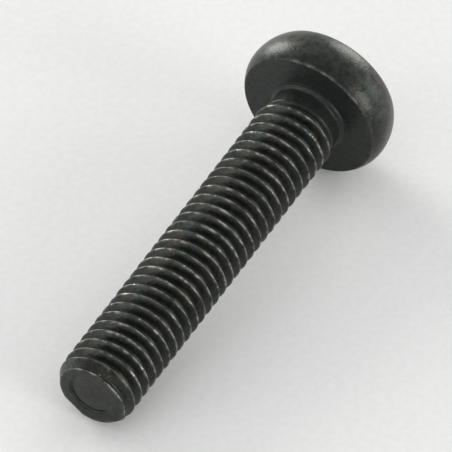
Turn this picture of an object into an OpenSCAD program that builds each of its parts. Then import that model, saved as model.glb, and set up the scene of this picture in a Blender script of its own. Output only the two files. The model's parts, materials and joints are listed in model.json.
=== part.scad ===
// Machine screw M5 x 25 with a pan head, as it lies on a flat surface.
// It rests on the bulge of its head and on the edge between its thread and its end chamfer.
// Lengths are in millimetres. The head is towards +X, and the surface is the plane Z = 0.
// The shank is drawn at the diameter over its thread crests.

/* [Thread] */
// Diameter over the crests of the thread, nominal 5 with its usual allowance
thread_d = 4.94; // [4.7:0.02:5]
// Pitch of the thread, which is also how long its run-out is
thread_pitch = 0.8; // [0.5:0.05:1]
// Length of the screw from its bearing face to its end
shank_l = 24.95; // [12:0.05:60]

/* [Shank end] */
// Diameter over the flat rim at the end
end_d = 4.2; // [3.6:0.1:4.4]
// Length of the chamfer from the rim to the thread
end_chamfer_l = 0.65; // [0.4:0.05:1.2]
// Diameter of the hollow that thread rolling leaves in the end
end_hollow_d = 2.5; // [1.5:0.1:3.2]
// Depth of that hollow at the foot of its wall
end_hollow_h = 0.2; // [0.1:0.01:0.3]
// Height by which the floor of the hollow bulges back in its middle
end_bulge_h = 0.1; // [0.02:0.01:0.1]
// Width of the flat that the wire cutter left on the rim
cut_flat_w = 1.6; // [0.8:0.1:2]
// Height of that flat along the chamfer
cut_flat_h = 0.5; // [0.2:0.05:0.6]
// Angle of that flat round the screw, from straight down
cut_flat_angle = 39; // [25:1:155]

/* [Neck] */
// Diameter of the plain neck between the thread and the collar
neck_d = 4.5; // [4:0.02:4.6]
// Length of the plain neck
neck_l = 0.73; // [0.2:0.01:1.5]
// Diameter of the collar under the head
collar_d = 5; // [4.8:0.05:5.4]
// Length of the collar from its edge to the bearing face
collar_l = 0.22; // [0.2:0.01:0.4]
// Radius of the edge of the collar
collar_edge_r = 0.08; // [0.04:0.01:0.1]
// Radius of the fillet from the collar to the bearing face
fillet_r = 0.1; // [0.05:0.01:0.12]

/* [Head] */
// Largest diameter of the head
head_d = 9.44; // [9:0.02:10.5]
// Height of the head above its bearing face
head_h = 3.65; // [3.5:0.05:3.8]
// Height of the largest diameter above the bearing face
girth_h = 1.13; // [0.8:0.01:1.3]
// Radius of the bulging side from the bearing face to the largest diameter
under_r = 1.89; // [1.6:0.01:3]
// Radius of the bulging side above the largest diameter
side_r = 2.83; // [2.4:0.01:3.2]
// Radius of the corner between the side and the dome
crown_r = 0.8; // [0.4:0.05:1]
// Radius of the dome
dome_r = 11; // [9:0.25:14]

/* [Drive recess] */
// Width across the lobes of the six-lobe recess, size 25
lobe_d = 4.5; // [4.4:0.02:4.56]
// Width between opposite flutes of the recess
flute_d = 3.25; // [3.2:0.01:3.3]
// Radius at the end of each lobe
lobe_r = 0.4; // [0.38:0.01:0.42]
// Radius of each flute
flute_r = 0.95; // [0.93:0.01:0.98]
// Depth of the straight walls below the top of the head
recess_h = 2; // [1:0.1:2.3]
// Diameter of the cone at the bottom of the recess
recess_cone_d = 3; // [1:0.1:3.1]
// Depth of that cone
recess_cone_h = 0.35; // [0.1:0.05:0.5]

/* [Hidden] */
$fn = 96;

LOBES = 6;
ARC_STEPS = 8;
OVER = 1;
BLACK_STEEL = [0.16, 0.16, 0.15];

// Shank, from its end upwards. The bearing face is at height 0.
end_z = -shank_l;
end_r = end_d / 2;
chamfer_z = end_z + end_chamfer_l;
thread_r = thread_d / 2;
neck_r = neck_d / 2;
neck_top_z = -collar_l;
neck_low_z = neck_top_z - neck_l;
runout_z = neck_low_z - thread_pitch;
collar_r = collar_d / 2;

// The wall of the hollow in the end is a steep cone, and its floor is part of a ball.
hollow_r = end_hollow_d / 2;
hollow_foot_r = hollow_r - end_hollow_h / 2;
floor_ball_r = (hollow_foot_r * hollow_foot_r + end_bulge_h * end_bulge_h) / (2 * end_bulge_h);
floor_centre = [0, end_z + end_hollow_h - end_bulge_h + floor_ball_r];
floor_a = asin(hollow_foot_r / floor_ball_r);

// Arcs of the head, each with its centre as [radius, height].
girth_r = head_d / 2;
under_centre = [girth_r - under_r, girth_h];
side_centre = [girth_r - side_r, girth_h];
dome_centre = [0, head_h - dome_r];
bearing_a = -asin(girth_h / under_r);

// The crown arc touches the side and the dome from within.
crown_centre = circle_meet(side_centre, side_r - crown_r, dome_centre, dome_r - crown_r);
crown_low_a = heading(crown_centre - side_centre);
crown_top_a = heading(crown_centre - dome_centre);

// The surface touches the edge of the chamfer and the bulge of the head.
rest_run = [under_centre.y - chamfer_z, under_centre.x - thread_r];
lay_angle = heading(rest_run) + asin(under_r / norm(rest_run));
lift = thread_r * cos(lay_angle) - chamfer_z * sin(lay_angle);

// The origin is midway between the rim of the end and the mouth of the recess.
flute_in_r = flute_d / 2;
mouth_z = dome_centre.y + sqrt(dome_r * dome_r - flute_in_r * flute_in_r);
head_x = flute_in_r * sin(lay_angle) + mouth_z * cos(lay_angle);
tail_x = end_z * cos(lay_angle) - end_r * sin(lay_angle);
mid_x = (head_x + tail_x) / 2;

// Centres of a lobe and of the flute beside it, and where their circles meet.
lobe_centre = [lobe_d / 2 - lobe_r, 0];
flute_centre = (flute_in_r + flute_r) * [cos(180 / LOBES), sin(180 / LOBES)];
lobe_to_flute = flute_centre - lobe_centre;
core_r = norm(lobe_centre + lobe_r * lobe_to_flute / norm(lobe_to_flute));

// Flat on the rim of the end, as wide as its chord there.
cut_flat_x = sqrt(end_r * end_r - cut_flat_w * cut_flat_w / 4);
cut_flat_top_r = end_r + (thread_r - end_r) * cut_flat_h / end_chamfer_l;
cut_flat_tilt = atan2(cut_flat_top_r - cut_flat_x, cut_flat_h);

// Angle of a direction, from outwards towards up.
function heading(v) = atan2(v.y, v.x);

// Points along an arc, from angle a0 to angle a1.
function arc(centre, r, a0, a1) =
    [for (i = [0:ARC_STEPS])
        let (a = a0 + (a1 - a0) * i / ARC_STEPS)
        centre + r * [cos(a), sin(a)]];

// Where two circles cross, on the outer side.
function circle_meet(c0, r0, c1, r1) =
    let (
        gap = norm(c1 - c0),
        dir = (c1 - c0) / gap,
        along = (r0 * r0 - r1 * r1 + gap * gap) / (2 * gap),
        across = sqrt(r0 * r0 - along * along)
    )
    c0 + along * dir + across * [-dir.y, dir.x];

// Half section of the shank, from the middle of its end to the edge of its collar.
function shank_section() = concat(
    arc(floor_centre, floor_ball_r, -90, floor_a - 90),
    [[hollow_r, end_z], [end_r, end_z], [thread_r, chamfer_z], [thread_r, runout_z]],
    [[neck_r, neck_low_z], [neck_r, neck_top_z]],
    arc([collar_r - collar_edge_r, neck_top_z + collar_edge_r], collar_edge_r, -90, 0)
);

// Half section of the head, from its fillet to the middle of its dome.
function head_section() = concat(
    arc([collar_r + fillet_r, -fillet_r], fillet_r, 180, 90),
    arc(under_centre, under_r, bearing_a, 0),
    arc(side_centre, side_r, 0, crown_low_a),
    arc(crown_centre, crown_r, crown_low_a, crown_top_a),
    arc(dome_centre, dome_r, crown_top_a, 90)
);

module six_lobe_outline() {
    difference() {
        circle(r = core_r);
        for (i = [0:LOBES - 1])
            rotate(i * 360 / LOBES) translate(flute_centre) circle(r = flute_r);
    }
    for (i = [0:LOBES - 1])
        rotate(i * 360 / LOBES) translate(lobe_centre) circle(r = lobe_r);
}

// A flute of the recess faces straight down.
module drive_recess() {
    floor_z = head_h - recess_h;
    translate([0, 0, floor_z])
        rotate(180 / LOBES)
            linear_extrude(height = recess_h + OVER) six_lobe_outline();
    translate([0, 0, floor_z - recess_cone_h])
        cylinder(h = recess_cone_h, r1 = 0, r2 = recess_cone_d / 2);
}

module cut_flat() {
    rotate(cut_flat_angle)
        translate([cut_flat_x, 0, end_z])
            rotate([0, cut_flat_tilt, 0])
                translate([0, -end_r, -OVER]) cube([end_r, 2 * end_r, OVER + 2 * cut_flat_h]);
}

module screw() {
    color(BLACK_STEEL)
        translate([-mid_x, 0, lift])
            rotate([0, 90 - lay_angle, 0])
                difference() {
                    rotate_extrude() polygon(concat(shank_section(), head_section()));
                    drive_recess();
                    cut_flat();
                }
}

screw();
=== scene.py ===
"""The looks of a black oxide machine screw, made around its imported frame.

The screw is one skin: its end, its rolled thread, its neck, its head and the drive recess.
Heights run along the screw from its bearing face towards the top of its head, radii run out from
its axis, and angles run round it from straight down. They are in millimetres and degrees.
"""

import json
import math

import bpy
import numpy as np
from mathutils import Matrix, Vector


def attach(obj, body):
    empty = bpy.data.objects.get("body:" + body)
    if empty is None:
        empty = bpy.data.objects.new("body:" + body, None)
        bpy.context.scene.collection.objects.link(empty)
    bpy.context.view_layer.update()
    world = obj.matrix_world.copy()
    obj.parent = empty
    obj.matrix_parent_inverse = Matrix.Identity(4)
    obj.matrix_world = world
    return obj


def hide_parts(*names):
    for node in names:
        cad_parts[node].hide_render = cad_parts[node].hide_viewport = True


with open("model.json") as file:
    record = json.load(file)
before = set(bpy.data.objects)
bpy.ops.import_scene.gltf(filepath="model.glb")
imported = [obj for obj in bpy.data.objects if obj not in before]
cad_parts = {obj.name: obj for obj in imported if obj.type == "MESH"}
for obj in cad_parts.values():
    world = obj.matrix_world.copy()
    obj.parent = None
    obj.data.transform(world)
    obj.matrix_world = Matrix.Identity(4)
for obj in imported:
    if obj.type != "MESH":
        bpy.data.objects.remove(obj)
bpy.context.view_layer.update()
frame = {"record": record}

MM = 0.001
TINY = 1e-6
SEED = 7

# Camera, as the photograph's perspective gives it, with its distance in metres. The point of the
# axis at the aim height lies so far right of the picture's middle and below it, in metres too.
CAMERA_AZIMUTH = -59.4
CAMERA_ELEVATION = 43.4
CAMERA_DISTANCE = 0.7829
CAMERA_LENS = 1071.7
CAMERA_SENSOR = 36.0
AIM_HEIGHT = -12.79
AIM_RIGHT = -0.001647
AIM_DOWN = 0.001856

# Light: the room's strength, and each lamp's name, azimuth, elevation, width and strength
ROOM_LIGHT = 0.675
ROOM_COLOUR = (0.97, 0.99, 1.0)
LAMP_COLOUR = (1.0, 0.985, 0.93)
LAMPS = [
    ("left_lamp", 144.0, 12.0, 28.0, 0.64),
    ("back_left_lamp", 74.0, 17.0, 32.0, 2.05),
    ("back_right_lamp", 0.0, 15.0, 30.0, 1.2),
    ("right_lamp", 262.0, 15.0, 28.0, 1.35),
    ("far_right_lamp", 308.0, 12.0, 28.0, 0.5),
    ("end_lamp", 180.0, 12.0, 28.0, 0.34),
]

# Thread. One of its crests passes through the crest height at the crest angle.
THREAD_R = 2.47
PITCH = 0.8
THREAD_DEPTH = 0.51
FLANK_ANGLE = 30.0
CREST_HALF = 0.045
CREST_ROUND = 0.05
ROOT_ROUND = 0.12
CREST_HEIGHT = -24.24
CREST_ANGLE = 206.6

# Run-out: between these distances below the bearing face the neck widens to more than the crests,
# and the groove deepens. The thread's own rows end high on the neck.
NECK_R = 2.25
BLANK_R = 2.57
CREST_FADE = (1.1, 1.95)
ROOT_FADE = (0.9, 1.2)
NECK_TOP = -0.4

# The corners where the crests meet the run-out and the chamfer are rounded by this much
EDGE_ROUND = 0.03

# The first groove fades in beside the end. It is pushed towards the end, and less so as it climbs.
# Both change between two angles, which run from the crest angle.
START_FADE = (-40.0, 2.0)
START_SHIFT = 0.12
START_SHIFT_FADE = (0.0, 150.0)

# The rub on the crests fades out between these distances from a crest
CREST_RUB_EDGE = (0.03, 0.1)

# It fades in between these distances below the bearing face
RUB_FADE = (1.4, 2.0)

# It fades out where the chamfer takes between these heights off a crest
RUB_CUT = (0.03, 0.09)

# It is this strong and this wide, from the least worn to the most worn stretches
CREST_RUB = (0.38, 1.0)
CREST_RUB_WIDTH = (0.6, 1.5)

# Beside the end it has this share of its strength, and gains the rest between these distances
FIRST_RUB = 0.45
FIRST_FADE = (0.8, 1.5)

# On the run-out, the neck, the collar and the bearing face the base colour is painted paler, a painted
# fill light that lifts the shade under the head, and the shine is weaker. This fades in between these
# heights.
PAINTED_FILL_FROM = (-1.7, -1.1)

# Sums of waves make the thread a little uneven, and unevenly worn. A wave goes round the screw at
# least this often and less often than the first of a pair, and it turns by up to the second, in
# radians, in each millimetre along the screw.
WAVE_COUNT = 14
ROUND_LEAST = 2
UNEVEN_WAVES = (30, 9)
UNEVEN_SIZE = 0.0025
WORN_WAVES = (26, 12)

# Values of such a sum where the thread is least and most worn
WORN_RANGE = (-1.1, 1.3)

# End of the shank, with its chamfer, the height of its edge and the dish of its face
END_HEIGHT = -24.95
END_R = 2.07
CHAMFER_LENGTH = 0.65
END_EDGE = 0.05
END_DISH = 0.012

# Rings of the rim of the end: how far in from its outline, how far up and how rubbed each is
END_RIM = [(0.015, 0.022, 1.0), (0.045, 0.008, 1.0), (0.08, 0.0, 0.2)]

# Flat that the wire cutter left: how far from the axis it lies at the end, and how far it moves
# out in each millimetre from there
CUT_FLAT_ANGLE = 39.0
CUT_FLAT_X = 1.94
CUT_FLAT_SLOPE = 0.885

# Where the screw faces away from the flat, this least cosine keeps the flat far outside it
FACING_LEAST = 0.05

# Hollow that thread rolling left in the end. It is shallow in its middle, and its foot deepens
# over these shares of the way across, to the side at this angle from the crest angle.
HOLLOW_R = 1.45
HOLLOW_FOOT_R = 1.36
HOLLOW_DEPTH = 0.15
HOLLOW_MIDDLE = 0.02
HOLLOW_DEEP_ANGLE = 195.0
HOLLOW_DEEP_FADE = (0.15, 0.7)

# Its lip and foot are a little uneven. Their corners are broken by so much, at this share of the
# depth.
HOLLOW_WOBBLE = 0.02
LIP_WAVES = (2, 3, 5)
LIP_BREAK = 0.01
LIP_SHARE = 0.08
FOOT_WAVES = (2, 3, 4)
FOOT_BREAK = 0.02
FOOT_SHARE = 0.85

# Along the edge of the end a low ridge and a nick come and go, and a stretch is rubbed bright.
# Each rises over its first two angles and is gone over its last two.
RIDGE_BAND = (222.0, 268.0, 288.0, 324.0)
RIDGE_OUT = 0.2
NICK_BAND = (202.0, 206.0, 209.0, 213.0)
NICK_IN = 0.1
BRIGHT_BAND = (211.0, 230.0, 240.0, 258.0)

# How rubbed the edge is elsewhere, and along the bright stretch
EDGE_WEAR = (0.75, 1.7)

# A bright fleck on the chamfer, beside the nick. It fades out between these distances.
FLECK_ANGLE = 197.5
FLECK_HEIGHT = -24.8
FLECK_FADE = (0.032, 0.08)

# Collar. The neck meets it in a small cove, and its edge starts at this angle of its arc.
COLLAR_R = 2.5
COLLAR_LENGTH = 0.18
FILLET = 0.02
COLLAR_EDGE = COLLAR_LENGTH - FILLET
COLLAR_EDGE_FROM = -70.0
COVE_LENGTH = 0.1
COVE_BREAK = 0.03

# Head. The bearing face has a small round edge, and the side bulges from there to the girth.
BEARING_EDGE = 0.05
HEAD_R = 4.72
HEAD_HEIGHT = 3.65
GIRTH_HEIGHT = 1.13
UNDER_ROUND = 1.89
SIDE_ROUND = 2.83
CROWN_ROUND = 0.8
DOME_ROUND = 11.0

# The edge of the bearing face is rubbed. It fades out between these distances from the edge, and
# from most to least over these angles on either side of one.
EDGE_RUB_FADE = (0.04, 0.12)
EDGE_RUB_ANGLE = 195.0
EDGE_RUB_SPREAD = (15.0, 55.0)
EDGE_RUB = (0.6, 0.1)

# The side is rubbed a little, fading in from this height to the girth, and so are crown and dome
SIDE_RUB = 0.07
SIDE_RUB_FROM = 0.3

# Six-lobe recess
LOBES = 6
LOBE_REACH = 2.25
LOBE_ROUND = 0.4
FLUTE_REACH = 1.625
FLUTE_ROUND = 0.95
RECESS_DEPTH = 2.0
RECESS_CONE_R = 1.5
RECESS_CONE_DEPTH = 0.35
RECESS_CONE_EDGE = 0.03

# Rings of the bevel of its mouth, as shares of the bevel out and down, and of the corner of its
# floor, by how far in and up they lie
MOUTH_BEVEL = 0.04
MOUTH_RINGS = [(0.25, 0.4), (0.0, 1.2)]
FLOOR_RINGS = [(0.01, 0.03), (0.05, 0.0)]

# Finish. Colours are linear, and each pair is from low to high noise.
OXIDE_GREEN = (0.003, 0.0042, 0.0036)
OXIDE_BROWN = (0.0044, 0.0042, 0.0035)
# Paler oxide colour painted under the head: a painted fill light that lifts the shade there
OXIDE_PAINTED_FILL = (0.0135, 0.016, 0.015)
SHINE_GREEN = (0.9, 1.0, 0.95)
SHINE_WARM = (1.0, 0.98, 0.9)
BARE_STEEL = (0.37, 0.38, 0.35)
OXIDE_SHINE = (0.33, 0.48)
OXIDE_ROUGHNESS = (0.29, 0.38)

# Where paler colour is painted under the head as fill light, the oxide keeps this share of the shine,
# and full polish takes so much of the steel's colour, is so metallic and takes so much off the
# roughness
PAINTED_FILL_SHINE = 0.66
POLISH_SHARE = 0.8
POLISH_METALLIC = 0.9
POLISH_SMOOTHING = 0.08

# Noise of the finish: how many features to the millimetre, and how much detail
GRAIN = (7.0, 3.0)
STREAKS = (2.6, 3.0)
PATCHES = (0.9, 2.0)

# Height of the bumps that the grain and the streaks make, in millimetres
GRAIN_SIZE = 0.018
PIT_SIZE = 0.01

# Values of the noise over which the finish changes, and for the rub what it then keeps
BROWN_RANGE = (0.38, 0.6)
SHINE_RANGE = (0.4, 0.6)
ROUGHNESS_RANGE = (0.3, 0.7)
CHIP_RANGE = (0.56, 0.63)
STREAK_RUB = (0.38, 0.62, 0.25, 1.0)
PATCH_RUB = (0.35, 0.62, 0.4, 1.0)

# How rubbed the steel is where its first chips show, and where all do
CHIP_RUB = (0.55, 0.9)

# The sheet: half its width in metres, its roughness, its fibres and their tones from low to high
SHEET_HALF = 0.6
SHEET_ROUGHNESS = 0.9
FIBRES = (2.2, 3.0)
FIBRE_RANGE = (0.3, 0.7)
SHEET_TONES = (0.785, 0.755)

# The skin has this many columns round the screw, and these rows in each turn of the thread,
# given by how far each lies above the crest.
COLUMNS = 144
CREST_ROWS = [0.0, 0.025, 0.05, 0.075, 0.11, 0.18, 0.27, 0.335, 0.4]
TURN_ROWS = CREST_ROWS + [PITCH - x for x in CREST_ROWS[-2:0:-1]]

# Its other rings, as shares of the way across a surface or, for the last two, of its radius
FACE_RINGS = (0.35, 0.6, 0.85, 0.97, 1.0)
DOME_RINGS = (0.35, 0.65, 0.88, 1.0)
WALL_RINGS = (0.15, 0.5, 0.85)
LEDGE_RINGS = (0.5, 1.0)
HOLLOW_RINGS = (0.93, 0.8, 0.6, 0.4, 0.2)
CONE_RINGS = (0.97, 0.7, 0.4, 0.15)

# Rings on the bearing face lie so far from its corners, with one so far from its edge. The arcs
# of the head begin so many degrees after that edge, and end at this angle on the dome.
FACE_MARGIN = 0.1
FACE_MIDDLE = 0.8
ARC_GAP = 1.5
DOME_ARC_TO = 74.0

angles = np.arange(COLUMNS) * 2 * math.pi / COLUMNS


def screw_place():
    """The matrix from the screw's own millimetres to the row frame, from the record's mounts."""
    mounts = {m["name"]: m for m in frame["record"]["mounts"]}
    along = -Vector(mounts["thread"]["axis"]).normalized()
    on_axis = Vector(mounts["thread"]["pos_m"])
    face = Vector(mounts["bearing_face"]["pos_m"])
    origin = on_axis + along * (face - on_axis).dot(along)
    across = Vector((0, 1, 0))
    down = across.cross(along)
    turn = Matrix((down, across, along)).transposed().to_4x4()
    return Matrix.Translation(origin) @ turn @ Matrix.Scale(MM, 4)


def between(first, last, share):
    """The value that lies so far on the way from first to last."""
    return first + (last - first) * share


def smooth_most(a, b, soft):
    """The larger of a and b, with the corner rounded."""
    return 0.5 * (a + b + np.sqrt((a - b) ** 2 + soft * soft))


def smooth_least(a, b, soft):
    """The smaller of a and b, with the corner rounded."""
    return 0.5 * (a + b - np.sqrt((a - b) ** 2 + soft * soft))


def smooth_ramp(x, start, stop):
    """Rises from 0 at start to 1 at stop, level at both."""
    share = np.clip((x - start) / (stop - start), 0, 1)
    return share * share * (3 - 2 * share)


def band(theta, limits):
    """Rises from 0 to 1 over the first two angles round the screw, and back over the last two."""
    turn = np.mod(np.degrees(theta), 360)
    return smooth_ramp(turn, *limits[:2]) * (1 - smooth_ramp(turn, *limits[2:]))


def angle_from(start, theta):
    """Angle from start round the screw, in degrees from -180 to 180."""
    return np.mod(np.degrees(theta) - start + 180, 360) - 180


def wobble(theta, waves, size, seed):
    """A smooth uneven ripple round the screw, the same each run."""
    local = np.random.default_rng(seed)
    total = 0
    for count in waves:
        total = total + local.normal() * np.cos(count * theta + local.uniform(0, 2 * math.pi)) / count
    return size * total


def ripple(height, theta, seed, round_most, long_most):
    """Smooth noise over the screw, mostly between -1 and 1, the same each run."""
    local = np.random.default_rng(seed)
    total = 0
    for _ in range(WAVE_COUNT):
        round_waves = local.integers(ROUND_LEAST, round_most)
        long_waves = local.uniform(-long_most, long_most)
        phase = local.uniform(0, 2 * math.pi)
        total = total + np.cos(round_waves * theta + long_waves * height + phase)
    return total / math.sqrt(WAVE_COUNT)


def above_first_crest(height, theta):
    """How far along the screw a point lies above the first turn of the crest."""
    return height - CREST_HEIGHT - PITCH * angle_from(CREST_ANGLE, theta) / 360


def to_nearest_turn(climb):
    """Distance to the nearest turn of the crest, from the height above the first one."""
    offset = np.mod(climb, PITCH)
    return np.minimum(offset, PITCH - offset)


def beside_crest(height, theta):
    """How far along the screw a point lies from the nearest crest, and how full the groove is.

    Below the first turn of the crest lies the first groove, and then none.
    """
    turn, climb = angle_from(CREST_ANGLE, theta), above_first_crest(height, theta)
    shift = START_SHIFT * (1 - smooth_ramp(turn, *START_SHIFT_FADE))
    below = np.maximum(-climb - shift, 0)
    in_first = (climb < 0) & (climb > -PITCH - shift)
    beside_first = np.minimum(below, np.abs(PITCH - below))
    beside = np.where(in_first, beside_first, to_nearest_turn(climb))
    full = np.where(climb < 0, smooth_ramp(turn, *START_FADE), 1)
    return beside, np.where(climb < -PITCH, 0, full)


def chamfer_radius(height, theta):
    """Radius of the end chamfer, with the ridge and the nick along its edge."""
    end_r = END_R + RIDGE_OUT * band(theta, RIDGE_BAND) - NICK_IN * band(theta, NICK_BAND)
    return end_r + (height - END_HEIGHT) * (THREAD_R - END_R) / CHAMFER_LENGTH


def cut_flat_radius(height, theta):
    """Distance from the axis to the cutter's flat, which is large away from its own side."""
    reach = CUT_FLAT_X + CUT_FLAT_SLOPE * (height - END_HEIGHT)
    facing = np.cos(theta - math.radians(CUT_FLAT_ANGLE))
    return reach / np.maximum(facing, FACING_LEAST)


def thread_radius(height, theta):
    """Radius of the rolled thread, with its run-out, the end chamfer and the cutter's flat."""
    beside, full = beside_crest(height, theta)
    depth = (beside - CREST_HALF) / math.tan(math.radians(FLANK_ANGLE))
    depth = smooth_most(depth, 0, CREST_ROUND)
    depth = smooth_least(depth, THREAD_DEPTH, ROOT_ROUND)
    radius = THREAD_R - depth * full * smooth_ramp(-height, *ROOT_FADE)
    blank = between(NECK_R, BLANK_R, smooth_ramp(-height, *CREST_FADE))
    radius = smooth_least(radius, blank, EDGE_ROUND)
    radius = radius + UNEVEN_SIZE * ripple(height, theta, SEED, *UNEVEN_WAVES)
    radius = smooth_least(radius, chamfer_radius(height, theta), EDGE_ROUND)
    return np.minimum(radius, cut_flat_radius(height, theta))


def fleck(height, theta):
    """How rubbed the chamfer is, which is only in a small fleck."""
    across = np.radians(angle_from(FLECK_ANGLE, theta)) * END_R
    return 1 - smooth_ramp(np.hypot(across, height - FLECK_HEIGHT), *FLECK_FADE)


def thread_rub(height, theta, radius):
    """How much the thread is rubbed: its crests, unevenly, and the fleck beside its end."""
    worn = smooth_ramp(ripple(height, theta, SEED + 1, *WORN_WAVES), *WORN_RANGE)
    beside = to_nearest_turn(above_first_crest(height, theta))
    near = 1 - smooth_ramp(beside / between(*CREST_RUB_WIDTH, worn), *CREST_RUB_EDGE)
    whole = 1 - smooth_ramp(THREAD_R - radius, *RUB_CUT)
    most = between(*CREST_RUB, worn)
    most = most * between(FIRST_RUB, 1, smooth_ramp(height - END_HEIGHT, *FIRST_FADE))
    crests = near * whole * most * smooth_ramp(-height, *RUB_FADE)
    return np.maximum(crests, fleck(height, theta))


def arc(centre, radius, start, stop, steps):
    """Points [radius, height] along an arc, from angle start to angle stop."""
    spread = np.radians(np.linspace(start, stop, steps + 1))
    return [(centre[0] + radius * math.cos(a), centre[1] + radius * math.sin(a)) for a in spread]


def circle_meet(c0, r0, c1, r1):
    """Where two circles cross, on the outer side."""
    c0, c1 = np.array(c0), np.array(c1)
    gap = np.linalg.norm(c1 - c0)
    way = (c1 - c0) / gap
    along = (r0 * r0 - r1 * r1 + gap * gap) / (2 * gap)
    across = math.sqrt(r0 * r0 - along * along)
    return c0 + along * way + across * np.array([-way[1], way[0]])


def heading(start, stop):
    """Angle of the way from start to stop, in degrees."""
    return math.degrees(math.atan2(stop[1] - start[1], stop[0] - start[0]))


def lobe_outline(theta):
    """Distance from the axis to the wall of the six-lobe recess. A flute faces straight down."""
    sector = 2 * math.pi / LOBES
    from_flute = np.abs(np.mod(theta + sector / 2, sector) - sector / 2)
    from_lobe = sector / 2 - from_flute
    lobe_c = LOBE_REACH - LOBE_ROUND
    flute_c = FLUTE_REACH + FLUTE_ROUND
    lobe_in = LOBE_ROUND ** 2 - (lobe_c * np.sin(from_lobe)) ** 2
    flute_in = FLUTE_ROUND ** 2 - (flute_c * np.sin(from_flute)) ** 2
    lobe = lobe_c * np.cos(from_lobe) + np.sqrt(np.maximum(lobe_in, 0))
    flute = flute_c * np.cos(from_flute) - np.sqrt(np.maximum(flute_in, 0))
    lobe = np.where(lobe_in > 0, lobe, np.inf)
    flute = np.where(flute_in > 0, flute, np.inf)
    return np.minimum(lobe, flute)


class Skin:
    """The vertices and faces of the screw, made ring by ring.

    Each vertex also says how much it is rubbed, which is 1 for a rubbed crest and more on the brightest
    edge, and how much paler colour is painted on it as fill light that lifts the shade under the head,
    from 0 to 1.
    """

    def __init__(self):
        self.points = []
        self.rub = []
        self.painted_fill = []
        self.faces = []
        self.count = 0

    def add(self, radius, theta, height, rub=0.0, painted_fill=0.0):
        """Adds points and returns their numbers, in the shape of the arrays."""
        radius, theta, height, rub, painted_fill = np.broadcast_arrays(radius, theta, height, rub, painted_fill)
        xyz = np.stack([radius * np.cos(theta), radius * np.sin(theta), height], -1)
        self.points.append(xyz.reshape(-1, 3))
        self.rub.append(rub.reshape(-1))
        self.painted_fill.append(painted_fill.reshape(-1))
        numbers = self.count + np.arange(radius.size).reshape(radius.shape)
        self.count += radius.size
        return numbers

    def ring(self, radius, height, rub=0.0, painted_fill=0.0):
        """Adds a ring with a point in each column, and returns their numbers."""
        return self.add(radius, angles, height, rub, painted_fill)

    def face(self, corners):
        """Adds a face, without the corners that fall together."""
        kept = [c for i, c in enumerate(corners) if c != corners[i - 1]]
        if len(kept) > 2 and len(set(kept)) == len(kept):
            self.faces.append(tuple(int(c) for c in kept))

    def close_helix(self, rows, turn_rows):
        """Closes rows that climb round the screw, each into the row that lies one turn above it."""
        last = len(rows) - 1
        for i in range(last):
            for j in range(COLUMNS - 1):
                self.face([rows[i, j], rows[i, j + 1], rows[i + 1, j + 1], rows[i + 1, j]])
            after, above = min(i + turn_rows, last), min(i + turn_rows + 1, last)
            self.face([rows[i, -1], rows[after, 0], rows[above, 0], rows[i + 1, -1]])

    def close_rings(self, rings, height, head_side):
        """Closes rings that run in to the axis, and the last one round a point at a height."""
        columns = [(j, (j + 1) % COLUMNS) for j in range(COLUMNS)]
        if not head_side:
            columns = [(k, j) for j, k in columns]
        for outer, inner in zip(rings, rings[1:]):
            for j, k in columns:
                self.face([outer[j], outer[k], inner[k], inner[j]])
        middle = int(self.add(0.0, 0.0, height))
        for j, k in columns:
            self.face([rings[-1][j], rings[-1][k], middle])


def thread_rows(low_height):
    """Heights of the thread's rows in each column, from below low_height to above the neck."""
    turns = math.ceil((NECK_TOP - low_height) / PITCH) + 2
    offsets = np.array([turn * PITCH + row for turn in range(turns) for row in TURN_ROWS])
    climb = PITCH * angles / (2 * math.pi)
    first = CREST_HEIGHT - PITCH * math.radians(CREST_ANGLE) / (2 * math.pi)
    first -= PITCH * math.ceil((first + PITCH - low_height) / PITCH)
    return first + offsets[:, None] + climb[None, :]


def add_thread(skin):
    """The thread, on rows that climb with its crests. Returns its lowest and highest ring.

    What lies beyond either ring falls together with it.
    """
    low_height = END_HEIGHT + END_EDGE
    rows = thread_rows(low_height)
    low = skin.ring(thread_radius(low_height, angles), low_height)
    # The top of the neck gets the full painted fill light of the shade under the head
    high = skin.ring(thread_radius(NECK_TOP, angles), NECK_TOP, painted_fill=1.0)
    above_low = rows > low_height + TINY
    inside = above_low & (rows < NECK_TOP - TINY)
    numbers = np.where(above_low, high, low)
    theta, height = np.broadcast_to(angles, rows.shape)[inside], rows[inside]
    radius = thread_radius(height, theta)
    # Towards the neck the colour is painted paler and the shine made weaker, a painted fill light in
    # the shade under the head
    rub, painted_fill = thread_rub(height, theta, radius), smooth_ramp(height, *PAINTED_FILL_FROM)
    numbers[inside] = skin.add(radius, theta, height, rub, painted_fill)
    skin.close_helix(numbers, len(TURN_ROWS))
    return low, high


def rim_rings(skin, outline):
    """The rim of the end, brighter along one stretch and not rubbed in the nick."""
    worn = between(*EDGE_WEAR, band(angles, BRIGHT_BAND)) * (1 - band(angles, NICK_BAND))
    return [skin.ring(outline - inset, END_HEIGHT + up, rub * worn) for inset, up, rub in END_RIM]


def face_rings(skin, outline, lip):
    """The end face, dished from its rim to the lip of the hollow."""
    rim = outline - END_RIM[-1][0]
    places = [(between(rim, lip, share), END_DISH * share) for share in FACE_RINGS]
    return [skin.ring(radius, END_HEIGHT + up) for radius, up in places]


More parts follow.
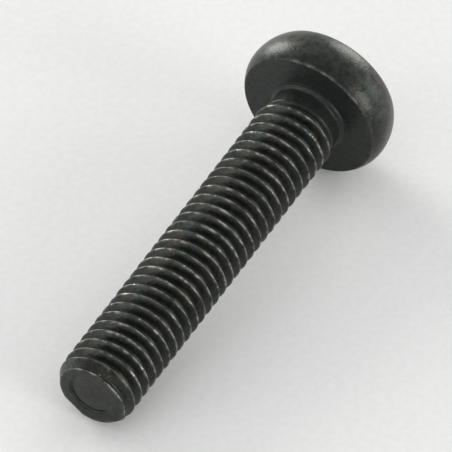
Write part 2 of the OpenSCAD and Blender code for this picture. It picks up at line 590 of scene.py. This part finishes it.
def hollow_rings(skin, lip):
    """The wall and the floor of the hollow, which is deep on one side."""
    foot = HOLLOW_FOOT_R + wobble(angles, FOOT_WAVES, HOLLOW_WOBBLE, SEED + 5)
    away = np.radians(angle_from(CREST_ANGLE, angles) - HOLLOW_DEEP_ANGLE)
    side_share = 0.5 + 0.5 * np.cos(away)
    deep = between(HOLLOW_MIDDLE, HOLLOW_DEPTH, smooth_ramp(side_share, *HOLLOW_DEEP_FADE))
    places = [
        (lip - LIP_BREAK, between(END_DISH, deep, LIP_SHARE)),
        (foot + FOOT_BREAK, FOOT_SHARE * deep),
        (foot - FOOT_BREAK, deep),
        *((foot * share, between(HOLLOW_MIDDLE, deep, share ** 3)) for share in HOLLOW_RINGS),
    ]
    return [skin.ring(radius, END_HEIGHT + up) for radius, up in places]


def add_end(skin, edge):
    """The end face, from its edge to the middle of its rolled hollow."""
    outline = thread_radius(END_HEIGHT + END_EDGE, angles)
    lip = HOLLOW_R + wobble(angles, LIP_WAVES, HOLLOW_WOBBLE, SEED + 4)
    rings = [edge]
    rings += rim_rings(skin, outline)
    rings += face_rings(skin, outline, lip)
    rings += hollow_rings(skin, lip)
    skin.close_rings(rings, END_HEIGHT + HOLLOW_MIDDLE, head_side=False)


def head_section():
    """Points [radius, height] up the head, from its collar to the start of its dome."""
    under = (HEAD_R - UNDER_ROUND, GIRTH_HEIGHT)
    side = (HEAD_R - SIDE_ROUND, GIRTH_HEIGHT)
    dome = (0, HEAD_HEIGHT - DOME_ROUND)
    crown = circle_meet(side, SIDE_ROUND - CROWN_ROUND, dome, DOME_ROUND - CROWN_ROUND)
    crown_low, crown_top = heading(side, crown), heading(dome, crown)
    reach, drop = UNDER_ROUND - BEARING_EDGE, GIRTH_HEIGHT - BEARING_EDGE
    edge = (under[0] + math.sqrt(reach ** 2 - drop ** 2), BEARING_EDGE)
    edge_top = heading(under, edge)
    collar = (COLLAR_R - COLLAR_EDGE, -COLLAR_LENGTH + COLLAR_EDGE)
    fillet = (COLLAR_R + FILLET, -FILLET)
    return [
        (NECK_R, -COLLAR_LENGTH - COVE_LENGTH),
        (NECK_R + COVE_BREAK, -COLLAR_LENGTH - COVE_BREAK),
        *arc(collar, COLLAR_EDGE, COLLAR_EDGE_FROM, 0, steps=8),
        *arc(fillet, FILLET, 180, 90, steps=2)[1:],
        (fillet[0] + FACE_MARGIN, 0),
        (edge[0] - FACE_MIDDLE, 0),
        (edge[0] - FACE_MARGIN, 0),
        *arc(edge, BEARING_EDGE, -90, edge_top, steps=4),
        *arc(under, UNDER_ROUND, edge_top + ARC_GAP, 0, steps=12),
        *arc(side, SIDE_ROUND, 0, crown_low, steps=10)[1:],
        *arc(crown, CROWN_ROUND, crown_low, crown_top, steps=6)[1:],
        *arc(dome, DOME_ROUND, crown_top, DOME_ARC_TO, steps=3)[1:],
    ]


def head_rub(radius, height):
    """How much a ring of the head is rubbed: the edge of its bearing face, its side and crown."""
    edge_r = HEAD_R - UNDER_ROUND + math.sqrt(UNDER_ROUND ** 2 - GIRTH_HEIGHT ** 2)
    near = 1 - smooth_ramp(math.hypot(radius - edge_r, height), *EDGE_RUB_FADE)
    away = np.abs(angle_from(EDGE_RUB_ANGLE, angles))
    at_edge = near * between(*EDGE_RUB, smooth_ramp(away, *EDGE_RUB_SPREAD))
    on_side = SIDE_RUB * smooth_ramp(height, SIDE_RUB_FROM, GIRTH_HEIGHT)
    return np.maximum(at_edge, on_side)


def section_rings(skin, section):
    """The head up its section. All below the edge of the bearing face is painted paler and given less
    shine, a painted fill light that lifts the shade there.
    """
    rings = []
    for radius, height in section:
        painted_fill = 1.0 if height < BEARING_EDGE / 2 else 0.0
        rings.append(skin.ring(radius, height, head_rub(radius, height), painted_fill))
    return rings


def dome_height(radius):
    """Height of the dome at a radius."""
    return HEAD_HEIGHT - DOME_ROUND + np.sqrt(DOME_ROUND ** 2 - radius ** 2)


def dome_rings(skin, start_r, lobes):
    """The dome, from the end of the head's section to the bevel of the recess."""
    radii = [between(start_r, lobes + MOUTH_BEVEL, share) for share in DOME_RINGS]
    return [skin.ring(radius, dome_height(radius)) for radius in radii]


def recess_rings(skin, lobes):
    """The bevelled mouth, the wall, the floor and the cone of the recess."""
    mouth, floor = dome_height(lobes), HEAD_HEIGHT - RECESS_DEPTH
    ledge, cone_edge = lobes - FLOOR_RINGS[-1][0], RECESS_CONE_R + RECESS_CONE_EDGE
    places = [
        *((lobes + out * MOUTH_BEVEL, mouth - down * MOUTH_BEVEL) for out, down in MOUTH_RINGS),
        *((lobes, between(mouth, floor, share)) for share in WALL_RINGS),
        *((lobes - inset, floor + up) for inset, up in FLOOR_RINGS),
        *((between(ledge, cone_edge, share), floor) for share in LEDGE_RINGS),
        *((RECESS_CONE_R * share, floor - RECESS_CONE_DEPTH * (1 - share)) for share in CONE_RINGS),
    ]
    return [skin.ring(radius, height) for radius, height in places]


def add_head(skin, neck):
    """Collar, bearing face, side, crown and dome, down to the bottom of the recess."""
    section, lobes = head_section(), lobe_outline(angles)
    rings = [neck]
    rings += section_rings(skin, section)
    rings += dome_rings(skin, section[-1][0], lobes)
    rings += recess_rings(skin, lobes)
    skin.close_rings(rings, HEAD_HEIGHT - RECESS_DEPTH - RECESS_CONE_DEPTH, head_side=True)


def make_screw(place):
    """The whole skin as one mesh object in the row frame."""
    skin = Skin()
    low, high = add_thread(skin)
    add_end(skin, low)
    add_head(skin, high)
    mesh = bpy.data.meshes.new("screw_skin")
    mesh.from_pydata(np.concatenate(skin.points).tolist(), [], skin.faces)
    for name, values in (("rub", skin.rub), ("painted_fill", skin.painted_fill)):
        mesh.attributes.new(name, "FLOAT", "POINT").data.foreach_set("value", np.concatenate(values))
    mesh.transform(place)
    mesh.update()
    for polygon in mesh.polygons:
        polygon.use_smooth = True
    screw = bpy.data.objects.new("screw_skin", mesh)
    bpy.context.scene.collection.objects.link(screw)
    return screw


def principled(name):
    """A new node material, its nodes and its shader."""
    material = bpy.data.materials.new(name)
    material.use_nodes = True
    return material, material.node_tree, material.node_tree.nodes["Principled BSDF"]


def add_node(tree, kind, **settings):
    """A node with settings for its properties."""
    node = tree.nodes.new(kind)
    for name, value in settings.items():
        setattr(node, name, value)
    return node


def attribute(tree, name):
    """A value that the skin's vertices hold."""
    return add_node(tree, "ShaderNodeAttribute", attribute_name=name).outputs["Fac"]


def noise(tree, places, scale, detail):
    """Noise with so many features to the millimetre."""
    node = add_node(tree, "ShaderNodeTexNoise")
    node.inputs["Scale"].default_value = scale
    node.inputs["Detail"].default_value = detail
    tree.links.new(places, node.inputs["Vector"])
    return node.outputs["Fac"]


def spread(tree, value, low, high, to_low=0.0, to_high=1.0):
    """Eases a value from the range low to high over to the range to_low to to_high."""
    node = add_node(tree, "ShaderNodeMapRange", interpolation_type="SMOOTHSTEP")
    for name, number in zip(("From Min", "From Max", "To Min", "To Max"), (low, high, to_low, to_high)):
        node.inputs[name].default_value = number
    tree.links.new(value, node.inputs["Value"])
    return node.outputs["Result"]


def math_node(tree, operation, first, second):
    """Two values put together by an operation. The second may be a number."""
    node = add_node(tree, "ShaderNodeMath", operation=operation)
    tree.links.new(first, node.inputs[0])
    if isinstance(second, float):
        node.inputs[1].default_value = second
    else:
        tree.links.new(second, node.inputs[1])
    return node.outputs["Value"]


def product(tree, first, second):
    """One value times another, which may be a number."""
    return math_node(tree, "MULTIPLY", first, second)


def blend(tree, share, first, second):
    """A colour between two, by share. Each is a colour or a socket."""
    node = add_node(tree, "ShaderNodeMix", data_type="RGBA")
    tree.links.new(share, node.inputs["Factor"])
    for socket, colour in ((node.inputs[6], first), (node.inputs[7], second)):
        if isinstance(colour, tuple):
            socket.default_value = (*colour, 1)
        else:
            tree.links.new(colour, socket)
    return node.outputs[2]


def places_in_mm(tree):
    """Object coordinates in millimetres."""
    coordinates = add_node(tree, "ShaderNodeTexCoord")
    scaled = add_node(tree, "ShaderNodeVectorMath", operation="SCALE")
    scaled.inputs["Scale"].default_value = 1 / MM
    tree.links.new(coordinates.outputs["Object"], scaled.inputs[0])
    return scaled.outputs["Vector"]


def bump(tree, height, size, below=None):
    """A bump of so many millimetres, over another one."""
    node = add_node(tree, "ShaderNodeBump")
    node.inputs["Distance"].default_value = size * MM
    tree.links.new(height, node.inputs["Height"])
    if below:
        tree.links.new(below, node.inputs["Normal"])
    return node.outputs["Normal"]


def uneven_polish(tree, rub, streaks, patches):
    """How polished rubbed steel is, which differs by streak and patch."""
    by_streak, by_patch = spread(tree, streaks, *STREAK_RUB), spread(tree, patches, *PATCH_RUB)
    return product(tree, rub, product(tree, by_streak, by_patch))


def oxide_colour(tree, brown, painted_fill, polish, chips):
    """Greenish to brownish black, painted paler as fill light where the shade under the head is lifted,
    and steel where polished or chipped.
    """
    oxide = blend(tree, painted_fill, blend(tree, brown, OXIDE_GREEN, OXIDE_BROWN), OXIDE_PAINTED_FILL)
    polished = blend(tree, product(tree, polish, POLISH_SHARE), oxide, BARE_STEEL)
    return blend(tree, chips, polished, BARE_STEEL)


def oxide_shine(tree, grain, streaks, painted_fill):
    """Shine of the oil, mottled by the mean of grain and streaks, and weaker where paler colour is
    painted as fill light under the head.
    """
    mottle = product(tree, math_node(tree, "ADD", grain, streaks), 0.5)
    shine = spread(tree, mottle, *SHINE_RANGE, *OXIDE_SHINE)
    return product(tree, shine, spread(tree, painted_fill, 0.0, 1.0, 1.0, PAINTED_FILL_SHINE))


def oxide_roughness(tree, streaks, polish):
    """Roughness that differs by streak, and is less where polished."""
    roughness = spread(tree, streaks, *ROUGHNESS_RANGE, *OXIDE_ROUGHNESS)
    return math_node(tree, "SUBTRACT", roughness, product(tree, polish, POLISH_SMOOTHING))


def black_oxide():
    """Oiled black oxide over steel.

    Where the attribute rub says so it is polished, and a few chips in it show the bare steel.
    Under the head it is less shiny and painted less black, a painted fill light that lifts the shade
    there.
    """
    material, tree, shader = principled("black_oxide")
    places = places_in_mm(tree)
    grain, streaks, patches = (noise(tree, places, *kind) for kind in (GRAIN, STREAKS, PATCHES))
    # The second attribute marks where paler colour is painted to lift the shade under the head
    rub, painted_fill = attribute(tree, "rub"), attribute(tree, "painted_fill")
    polish = uneven_polish(tree, rub, streaks, patches)
    chips = product(tree, spread(tree, rub, *CHIP_RUB), spread(tree, grain, *CHIP_RANGE))
    brown = spread(tree, patches, *BROWN_RANGE)
    looks = {
        "Base Color": oxide_colour(tree, brown, painted_fill, polish, chips),
        "Metallic": math_node(tree, "MAXIMUM", product(tree, polish, POLISH_METALLIC), chips),
        "Specular Tint": blend(tree, brown, SHINE_GREEN, SHINE_WARM),
        "Specular IOR Level": oxide_shine(tree, grain, streaks, painted_fill),
        "Roughness": oxide_roughness(tree, streaks, polish),
        "Normal": bump(tree, grain, GRAIN_SIZE, bump(tree, streaks, PIT_SIZE)),
    }
    for name, value in looks.items():
        tree.links.new(value, shader.inputs[name])
    return material


def pale_sheet():
    """A pale sheet with faint fibres."""
    material, tree, shader = principled("pale_sheet")
    fibres = spread(tree, noise(tree, places_in_mm(tree), *FIBRES), *FIBRE_RANGE)
    sheet = blend(tree, fibres, *((tone, tone, tone) for tone in SHEET_TONES))
    tree.links.new(sheet, shader.inputs["Base Color"])
    shader.inputs["Roughness"].default_value = SHEET_ROUGHNESS
    return material


def make_floor():
    """The sheet under the screw."""
    signs = ((-1, -1), (1, -1), (1, 1), (-1, 1))
    mesh = bpy.data.meshes.new("floor")
    mesh.from_pydata([(x * SHEET_HALF, y * SHEET_HALF, 0) for x, y in signs], [], [(0, 1, 2, 3)])
    mesh.materials.append(pale_sheet())
    floor = bpy.data.objects.new("floor", mesh)
    bpy.context.scene.collection.objects.link(floor)


def make_camera(place):
    """The photograph's camera: a long lens that looks down on the screw."""
    az, el = math.radians(CAMERA_AZIMUTH), math.radians(CAMERA_ELEVATION)
    right = Vector((math.cos(az), math.sin(az), 0))
    look = Vector((-math.sin(az) * math.cos(el), math.cos(az) * math.cos(el), -math.sin(el)))
    up = right.cross(look)
    aim = place @ Vector((0, 0, AIM_HEIGHT))
    spot = aim - look * CAMERA_DISTANCE - right * AIM_RIGHT + up * AIM_DOWN
    data = bpy.data.cameras.new("camera")
    data.lens = CAMERA_LENS
    data.sensor_width = CAMERA_SENSOR
    data.clip_start = 0.01
    data.clip_end = 10
    camera = bpy.data.objects.new("camera", data)
    turn = Matrix((right, up, -look)).transposed().to_4x4()
    camera.matrix_world = Matrix.Translation(spot) @ turn
    bpy.context.scene.collection.objects.link(camera)
    bpy.context.scene.camera = camera


def soft_lamp(name, azimuth, elevation, width, strength):
    """A wide far lamp. Its azimuth, elevation and width are in degrees."""
    data = bpy.data.lights.new(name, "SUN")
    data.angle = math.radians(width)
    data.energy = strength
    data.color = LAMP_COLOUR
    lamp = bpy.data.objects.new(name, data)
    az, el = math.radians(azimuth), math.radians(elevation)
    to_lamp = Vector((math.cos(az) * math.cos(el), math.sin(az) * math.cos(el), math.sin(el)))
    lamp.rotation_mode = "QUATERNION"
    lamp.rotation_quaternion = (-to_lamp).to_track_quat("-Z", "Y")
    bpy.context.scene.collection.objects.link(lamp)


def make_light():
    """A pale room, lit by low wide lamps all round but behind the camera."""
    world = bpy.data.worlds.new("room")
    world.use_nodes = True
    background = world.node_tree.nodes["Background"]
    background.inputs["Color"].default_value = (*ROOM_COLOUR, 1)
    background.inputs["Strength"].default_value = ROOM_LIGHT
    bpy.context.scene.world = world
    for lamp in LAMPS:
        soft_lamp(*lamp)


bpy.context.scene.view_settings.view_transform = "Standard"
place = screw_place()
make_camera(place)
make_floor()
make_light()

screw = make_screw(place)
screw.data.materials.append(black_oxide())
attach(screw, "root")
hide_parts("screw")
